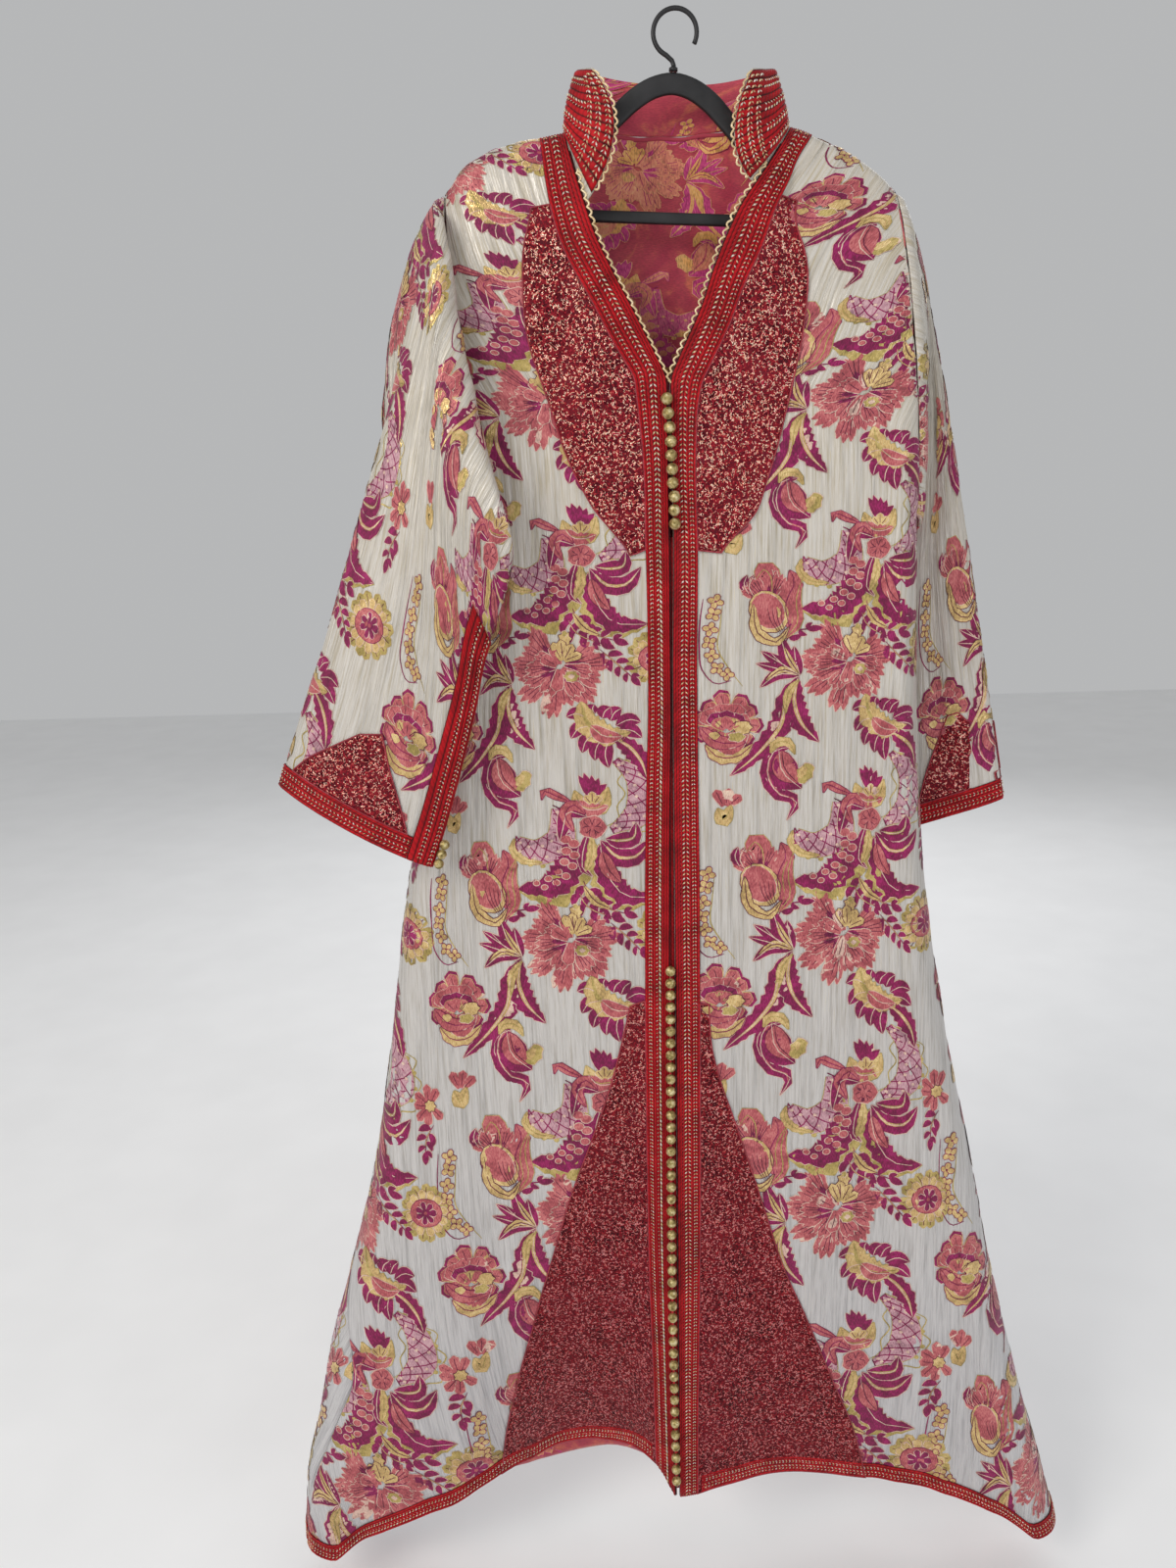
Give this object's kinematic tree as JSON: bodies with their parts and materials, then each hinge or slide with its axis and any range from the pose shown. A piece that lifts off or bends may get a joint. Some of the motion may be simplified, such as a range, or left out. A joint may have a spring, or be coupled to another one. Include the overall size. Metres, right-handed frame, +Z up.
{
  "type": "moroccan kaftan on a hanger",
  "caption": "Long open-front brocade kaftan with stand collar, wide sleeves, red and gold braid, glitter panels and knot buttons, hung on a plain black hanger",
  "frame": {"origin": "inside top of the hanger's hook, where it rests on a rod", "axes": "+X to the viewer's right across the shoulders, +Y from front to back, +Z up"},
  "size_m": [0.948, 0.1978, 1.6965],
  "materials": {
    "brocade": "crinkled silvery brocade woven with coral, plum and gold flowers, magenta and orange on its reverse",
    "braid": "red silk braid with rows of gold and silver stitches",
    "glitter": "crimson cloth covered in fine gold and pink curled thread",
    "button": "olive gold metal thread knotted into balls",
    "hanger": "plain matt black"
  },
  "bodies": {
    "root": {"back": "brocade", "braid_collar": "braid", "braid_cuff_left": "braid", "braid_cuff_right": "braid", "braid_front_left": "braid", "braid_front_right": "braid", "braid_hem_back": "braid", "braid_hem_left": "braid", "braid_hem_right": "braid", "braid_slit_left": "braid", "braid_slit_right": "braid", "button_chest_01": "button", "button_chest_02": "button", "button_chest_03": "button", "button_chest_04": "button", "button_chest_05": "button", "button_chest_06": "button", "button_chest_07": "button", "button_chest_08": "button", "button_chest_09": "button", "button_chest_10": "button", "button_cuff_left_1": "button", "button_cuff_left_2": "button", "button_cuff_left_3": "button", "button_cuff_right_1": "button", "button_cuff_right_2": "button", "button_cuff_right_3": "button", "buttons_skirt_row": "button", "collar": "brocade", "front_left": "brocade", "front_right": "brocade", "hanger_arms": "hanger", "hanger_hook": "hanger", "panel_chest_left": "glitter", "panel_chest_right": "glitter", "panel_skirt_left": "glitter", "panel_skirt_right": "glitter", "panel_sleeve_left": "glitter", "panel_sleeve_right": "glitter", "sleeve_left": "brocade", "sleeve_right": "brocade"}
  },
  "joints": []
}
